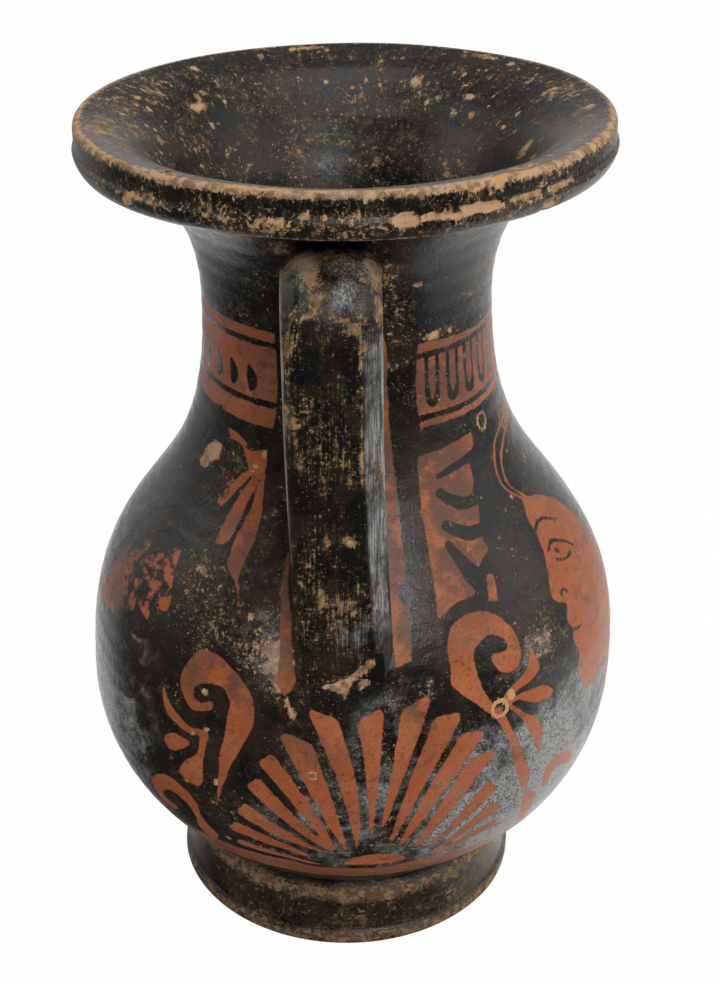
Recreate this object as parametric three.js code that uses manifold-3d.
// A pelike: a two-handled, wide-mouthed jar of fired clay, luted together from thrown and pulled pieces.
// Millimetres, +Z up. The pot turns about Z and its foot stands on Z = 0.
// The handles lie on the Y axis, and the two picture panels face +X and -X.
import * as THREE from "three";
import { mergeVertices } from "three/addons/utils/BufferGeometryUtils.js";
import Module from "manifold-3d";

const wasm = await Module();
wasm.setup();

// Foot: a turned ring
const FOOT_RADIUS = 47.2; // at the bead round its lower edge
const FOOT_HEIGHT = 17; // ground to the seat that takes the body
const FOOT_BEVEL = 0.8; // at the ground
const FOOT_BEAD = 2.6; // height of the bead above the bevel
const FOOT_SET_BACK = 0.9; // step from the bead to the side
const FOOT_TAPER = 1.2; // how much narrower the side is at its top
const FOOT_CAP_HEIGHT = 4; // the rounded cap between the side and the seat
const FOOT_REST_WIDTH = 10; // the flat ring that stands on the ground
const FOOT_SEAT_WIDTH = 13; // the flat ring under the body

// Body: thrown with its neck as one wall
const BASE_RADIUS = 42.5; // on the foot
const BASE_RISE_ANGLE = 45; // degrees, slope of the wall as it leaves the foot
const BASE_DRAW = 12.5; // how far that slope is held
const BASE_TO_BELLY = 50.5; // height from the base to the widest level
const BELLY_RADIUS = 71.5;
const BELLY_FULLNESS_BELOW = 0.55; // share of that height over which the belly stays upright
const BELLY_TO_NECK = 105.5; // height from the widest level to the waist of the neck
const SHOULDER_FULLNESS = 0.555; // share of that height over which the shoulder stays upright
const NECK_DRAW = 0.58; // share of that height over which the neck stays upright
const NECK_RADIUS = 36.5; // at its waist
const NECK_TO_LIP = 32; // height from the waist to the top of the body
const COLLAR_RADIUS = 49; // where the neck flares out under the lip
const COLLAR_UPRIGHT = 0.62; // share of that height over which the neck stays upright
const COLLAR_ANGLE = 48; // degrees, slope of the flare under the lip
const COLLAR_DRAW = 7; // how far that slope is held
const WALL = 5.5;
const FLOOR = 6.5;

// Lip: an overhanging ring on top of the neck
const LIP_RADIUS = 65.2; // at the ridge round its face
const LIP_EDGE_RADIUS = 64; // at the top edge
const LIP_HEIGHT = 14; // seat to the top edge
const LIP_FACE = 11.5; // height of the outer face
const LIP_BAND = 4.4; // height of the upright band between the top edge and the ridge
const LIP_RIDGE_STEP = 1; // height over which the band steps out to the ridge
const LIP_EDGE = 1.2; // rounding of the worn top edge
const LIP_UNDERCUT = 3.2; // how far the face draws in from the ridge to its foot
const MOUTH_ANGLE = 12; // degrees, slope of the mouth just inside the edge
const MOUTH_DRAW = 12; // how far that slope is held

// Handles: two pulled straps
const HANDLE_WIDTH = 22.5; // at the top
const HANDLE_ROOT_WIDTH = 24; // at the belly
const HANDLE_THICKNESS = 8;
const HANDLE_BEVEL = 2.6; // along its four long edges
const HANDLE_BELOW_LIP = 9.5; // from the top of the body down to the strap's upper root
const HANDLE_STAND_OFF = 25.5; // from the waist of the neck out to the middle of the strap
const HANDLE_ARCH = 13; // height over which the strap turns downwards
const HANDLE_RISE = 5; // how much the strap lifts as it leaves the neck
const HANDLE_ROOT_RISE = 34; // lower root above the widest level
const HANDLE_LEAN = 3; // how far the top of the strap stands to one side
const HANDLE_ROOT_DEPTH = 9; // how far each end is carried into the wall before it is cut to fit

// Joints: slip between flat seats, and a pad of soft clay under each end of a handle
const SLIP = 0.5;
const SLIP_INSET = 0.6; // the seam stays this far inside the faces
const PAD = 1.6; // thickness of a luting pad
const PAD_SPREAD = 2; // how far a pad shows round the strap
const GAP = 0.3; // kept between pieces that are cut to one another

// Fineness of the curves
const ROUND_SEGMENTS = 48;
const CUT_SEGMENTS = 144; // of the turned forms that cut the handles and pads
const BELLY_STEPS = 8;
const SHOULDER_STEPS = 11;
const COLLAR_STEPS = 6;
const MOUTH_STEPS = 6;
const EDGE_STEPS = 3;
const STRAP_STEPS = 26;

const BASE_LEVEL = FOOT_HEIGHT + SLIP;
const BELLY_LEVEL = BASE_LEVEL + BASE_TO_BELLY;
const NECK_LEVEL = BELLY_LEVEL + BELLY_TO_NECK;
const BODY_TOP = NECK_LEVEL + NECK_TO_LIP;
const LIP_SEAT = BODY_TOP + SLIP;
const LIP_TOP = LIP_SEAT + LIP_HEIGHT;

const blackGloss = new THREE.MeshStandardMaterial({ color: 0x1d1a17, roughness: 0.35, metalness: 0 });
const firedClay = new THREE.MeshStandardMaterial({ color: 0xa5603c, roughness: 0.8, metalness: 0 });

const point = (radius, level) => new THREE.Vector2(radius, level);

// A step of the given length from a profile point, at an angle in degrees above the horizontal.
function along(start, angle, length) {
  const turn = THREE.MathUtils.degToRad(angle);
  return point(start.x + length * Math.cos(turn), start.y + length * Math.sin(turn));
}

function curve(start, startPull, endPull, end, steps) {
  return new THREE.CubicBezierCurve(start, startPull, endPull, end).getPoints(steps);
}

// The outer face of the body, from its base on the foot up to the lip.
function wallProfile() {
  const base = point(BASE_RADIUS, BASE_LEVEL);
  const belly = point(BELLY_RADIUS, BELLY_LEVEL);
  const neck = point(NECK_RADIUS, NECK_LEVEL);
  const collar = point(COLLAR_RADIUS, BODY_TOP);
  const belowBelly = curve(
    base,
    along(base, BASE_RISE_ANGLE, BASE_DRAW),
    point(BELLY_RADIUS, BELLY_LEVEL - BELLY_FULLNESS_BELOW * BASE_TO_BELLY),
    belly,
    BELLY_STEPS,
  );
  const shoulder = curve(
    belly,
    point(BELLY_RADIUS, BELLY_LEVEL + SHOULDER_FULLNESS * BELLY_TO_NECK),
    point(NECK_RADIUS, NECK_LEVEL - NECK_DRAW * BELLY_TO_NECK),
    neck,
    SHOULDER_STEPS,
  );
  const flare = curve(
    neck,
    point(NECK_RADIUS, NECK_LEVEL + COLLAR_UPRIGHT * NECK_TO_LIP),
    along(collar, COLLAR_ANGLE, -COLLAR_DRAW),
    collar,
    COLLAR_STEPS,
  );
  return [...belowBelly, ...shoulder.slice(1), ...flare.slice(1)];
}

// A profile moved outwards, square to itself, by a distance. A negative distance moves it inwards.
function offset(profile, distance) {
  return profile.map((here, i) => {
    const before = profile[Math.max(i - 1, 0)];
    const after = profile[Math.min(i + 1, profile.length - 1)];
    const run = after.clone().sub(before).normalize();
    return point(here.x + run.y * distance, here.y - run.x * distance);
  });
}

const wall = wallProfile();

// The radius of the body's outer face at a level.
function wallRadius(level) {
  const above = wall.findIndex((p) => p.y >= level);
  const [low, high] = [wall[above - 1], wall[above]];
  return THREE.MathUtils.mapLinear(level, low.y, high.y, low.x, high.x);
}

// A solid or ring turned about Z from a closed profile that runs upwards on its outer side.
function turned(profile, segments = ROUND_SEGMENTS) {
  return new THREE.LatheGeometry(profile, segments).rotateX(Math.PI / 2);
}

function toSolid(geometry) {
  const bare = geometry.clone();
  bare.deleteAttribute("normal");
  bare.deleteAttribute("uv");
  const merged = mergeVertices(bare);
  return new wasm.Manifold(
    new wasm.Mesh({
      numProp: 3,
      vertProperties: merged.getAttribute("position").array,
      triVerts: new Uint32Array(merged.index.array),
    }),
  );
}

function toGeometry(solid) {
  const mesh = solid.getMesh();
  const geometry = new THREE.BufferGeometry();
  geometry.setAttribute("position", new THREE.BufferAttribute(mesh.vertProperties, mesh.numProp));
  geometry.setIndex(new THREE.BufferAttribute(mesh.triVerts, 1));
  geometry.computeVertexNormals();
  return geometry;
}

// The hollow's side, from the top of the body down to the floor.
function hollowProfile() {
  const floorLevel = BASE_LEVEL + FLOOR;
  const inside = offset(wall, -WALL);
  const top = point(COLLAR_RADIUS - WALL / Math.sin(THREE.MathUtils.degToRad(COLLAR_ANGLE)), BODY_TOP);
  const side = inside.filter((p) => p.y > floorLevel + FLOOR / 2 && p.y < BODY_TOP - WALL);
  const heel = point(side[0].x - WALL / 2, floorLevel);
  return [top, ...side.reverse(), heel];
}

const hollow = hollowProfile();
const MOUTH_THROAT = hollow[0].x; // inner radius where the lip sits on the neck

function bodyGeometry() {
  const axisBottom = point(0, BASE_LEVEL);
  const axisFloor = point(0, BASE_LEVEL + FLOOR);
  return turned([axisBottom, ...wall, ...hollow, axisFloor]);
}

function footGeometry() {
  const sideTop = point(FOOT_RADIUS - FOOT_SET_BACK - FOOT_TAPER, FOOT_HEIGHT - FOOT_CAP_HEIGHT);
  const seatOuter = point(BASE_RADIUS, FOOT_HEIGHT);
  const seatInner = point(BASE_RADIUS - FOOT_SEAT_WIDTH, FOOT_HEIGHT);
  const restOuter = point(FOOT_RADIUS - FOOT_BEVEL, 0);
  const restInner = point(restOuter.x - FOOT_REST_WIDTH, 0);
  const beadTop = FOOT_BEVEL + FOOT_BEAD;
  const cap = curve(
    sideTop,
    point(sideTop.x, sideTop.y + FOOT_CAP_HEIGHT / 2),
    point(sideTop.x, seatOuter.y - FOOT_CAP_HEIGHT / 4),
    seatOuter,
    EDGE_STEPS,
  );
  const underside = curve(
    seatInner,
    point(seatInner.x, FOOT_HEIGHT / 2),
    point(restInner.x, FOOT_HEIGHT / 2),
    restInner,
    EDGE_STEPS,
  );
  return turned([
    restInner,
    restOuter,
    point(FOOT_RADIUS, FOOT_BEVEL),
    point(FOOT_RADIUS, beadTop),
    point(FOOT_RADIUS - FOOT_SET_BACK, beadTop + FOOT_SET_BACK),
    ...cap,
    ...underside,
  ]);
}

function lipGeometry() {
  const seatInner = point(MOUTH_THROAT, LIP_SEAT);
  const seatOuter = point(COLLAR_RADIUS, LIP_SEAT);
  const faceBottom = point(LIP_RADIUS - LIP_UNDERCUT, LIP_TOP - LIP_FACE);
  const bandTop = point(LIP_EDGE_RADIUS, LIP_TOP - LIP_EDGE);
  const bandBottom = point(LIP_EDGE_RADIUS, bandTop.y - LIP_BAND);
  const ridge = point(LIP_RADIUS, bandBottom.y - LIP_RIDGE_STEP);
  const edgeInner = point(LIP_EDGE_RADIUS - 2 * LIP_EDGE, LIP_TOP - LIP_EDGE / 4);
  const roll = curve(
    faceBottom,
    point(LIP_RADIUS - LIP_UNDERCUT / 4, faceBottom.y + LIP_UNDERCUT / 4),
    point(LIP_RADIUS, THREE.MathUtils.lerp(faceBottom.y, ridge.y, 0.5)),
    ridge,
    EDGE_STEPS,
  );
  const edge = curve(
    bandTop,
    point(LIP_EDGE_RADIUS, LIP_TOP - LIP_EDGE / 2),
    point(LIP_EDGE_RADIUS - LIP_EDGE / 2, LIP_TOP),
    point(LIP_EDGE_RADIUS - LIP_EDGE, LIP_TOP),
    EDGE_STEPS,
  );
  const mouth = curve(
    edgeInner,
    along(edgeInner, MOUTH_ANGLE, -MOUTH_DRAW),
    along(seatInner, COLLAR_ANGLE, COLLAR_DRAW),
    seatInner,
    MOUTH_STEPS,
  );
  return turned([seatInner, seatOuter, ...roll, bandBottom, ...edge, ...mouth]);
}

// A flat ring of slip that fills the seam between two level seats.
function seamGeometry(innerRadius, outerRadius, level) {
  const [near, far] = [innerRadius + SLIP_INSET, outerRadius - SLIP_INSET];
  const ring = [point(near, level), point(far, level), point(far, level + SLIP), point(near, level + SLIP)];
  return turned([...ring, ring[0]]);
}

// Everything inside the body's outer face swollen by a distance, with no hollow, used to cut what sits on the wall.
function swollenBody(distance) {
  const face = offset(wall, distance);
  return toSolid(turned([point(0, face[0].y), ...face, point(0, face.at(-1).y)], CUT_SEGMENTS));
}

const UPPER_ROOT = BODY_TOP - HANDLE_BELOW_LIP;
const LOWER_ROOT = BELLY_LEVEL + HANDLE_ROOT_RISE;

// The middle line of a strap on the -Y side, from inside the neck, over its arch and down into the belly.
function strapPath() {
  const place = (radius, level) => {
    const lean = THREE.MathUtils.mapLinear(level, LOWER_ROOT, UPPER_ROOT, 0, -HANDLE_LEAN);
    return new THREE.Vector3(lean, -radius, level);
  };
  const runRadius = NECK_RADIUS + HANDLE_STAND_OFF;
  const neckFace = wallRadius(UPPER_ROOT);
  const bellyFace = wallRadius(LOWER_ROOT);
  const turnLevel = UPPER_ROOT - HANDLE_ARCH;
  const path = new THREE.CurvePath();
  const upperEnd = place(neckFace - HANDLE_ROOT_DEPTH, UPPER_ROOT - HANDLE_RISE);
  const archEnd = place(runRadius, turnLevel);
  const lowerEnd = place(bellyFace - HANDLE_ROOT_DEPTH / 2, LOWER_ROOT - HANDLE_ROOT_DEPTH);
  const runPull = (turnLevel - LOWER_ROOT) / 2;
  path.add(
    new THREE.CubicBezierCurve3(
      upperEnd,
      place(neckFace + HANDLE_RISE, UPPER_ROOT + HANDLE_RISE),
      place(runRadius, UPPER_ROOT + HANDLE_RISE),
      archEnd,
    ),
  );
  path.add(
    new THREE.CubicBezierCurve3(
      archEnd,
      place(runRadius, turnLevel - runPull),
      place(runRadius, LOWER_ROOT + runPull / 2),
      lowerEnd,
    ),
  );
  return path;
}

// A strap with bevelled edges along that line, wider towards its lower root, and larger all round by a spread.
function strap(spread) {
  const halfWidth = HANDLE_WIDTH / 2 + spread;
  const halfThickness = HANDLE_THICKNESS / 2 + spread;
  const section = new THREE.Shape([
    point(halfWidth, halfThickness - HANDLE_BEVEL),
    point(halfWidth - HANDLE_BEVEL, halfThickness),
    point(HANDLE_BEVEL - halfWidth, halfThickness),
    point(-halfWidth, halfThickness - HANDLE_BEVEL),
    point(-halfWidth, HANDLE_BEVEL - halfThickness),
    point(HANDLE_BEVEL - halfWidth, -halfThickness),
    point(halfWidth - HANDLE_BEVEL, -halfThickness),
    point(halfWidth, HANDLE_BEVEL - halfThickness),
  ]);
  const geometry = new THREE.ExtrudeGeometry(section, {
    steps: STRAP_STEPS,
    bevelEnabled: false,
    extrudePath: strapPath(),
  });
  const position = geometry.getAttribute("position");
  for (let i = 0; i < position.count; i++) {
    const downwards = THREE.MathUtils.clamp(
      THREE.MathUtils.inverseLerp(UPPER_ROOT, LOWER_ROOT, position.getZ(i)),
      0,
      1,
    );
    const widening = THREE.MathUtils.lerp(1, HANDLE_ROOT_WIDTH / HANDLE_WIDTH, downwards);
    position.setX(i, position.getX(i) * widening);
  }
  return toSolid(geometry);
}

// The strap cut to fit over its pads, and the two pads between it and the wall.
function handlePieces() {
  const overPads = swollenBody(GAP + PAD + GAP);
  const padZone = swollenBody(GAP + PAD).subtract(swollenBody(GAP));
  const cut = strap(0).subtract(overPads).decompose();
  const handle = cut.reduce((largest, piece) => (piece.volume() > largest.volume() ? piece : largest));
  const pads = strap(PAD_SPREAD).intersect(padZone).decompose();
  const heightOf = (solid) => solid.boundingBox().max[2];
  pads.sort((a, b) => heightOf(b) - heightOf(a));
  return { handle, upperPad: pads[0], lowerPad: pads[1] };
}

function piece(name, geometry, material) {
  const mesh = new THREE.Mesh(geometry, material);
  mesh.name = name;
  return mesh;
}

const pelike = new THREE.Group();
pelike.add(piece("body_and_neck", bodyGeometry(), blackGloss));
pelike.add(piece("foot_ring", footGeometry(), blackGloss));
pelike.add(piece("mouth_lip", lipGeometry(), blackGloss));
pelike.add(
  piece("foot_slip_seam", seamGeometry(BASE_RADIUS - FOOT_SEAT_WIDTH, BASE_RADIUS, FOOT_HEIGHT), firedClay),
);
pelike.add(piece("lip_slip_seam", seamGeometry(MOUTH_THROAT, COLLAR_RADIUS, BODY_TOP), firedClay));

const { handle, upperPad, lowerPad } = handlePieces();
const sides = [
  ["front", 0],
  ["back", Math.PI],
];
for (const [side, turn] of sides) {
  const group = new THREE.Group();
  group.rotation.z = turn;
  group.add(piece(`handle_${side}`, toGeometry(handle), blackGloss));
  group.add(piece(`handle_${side}_upper_luting`, toGeometry(upperPad), firedClay));
  group.add(piece(`handle_${side}_lower_luting`, toGeometry(lowerPad), firedClay));
  pelike.add(group);
}

export default pelike;
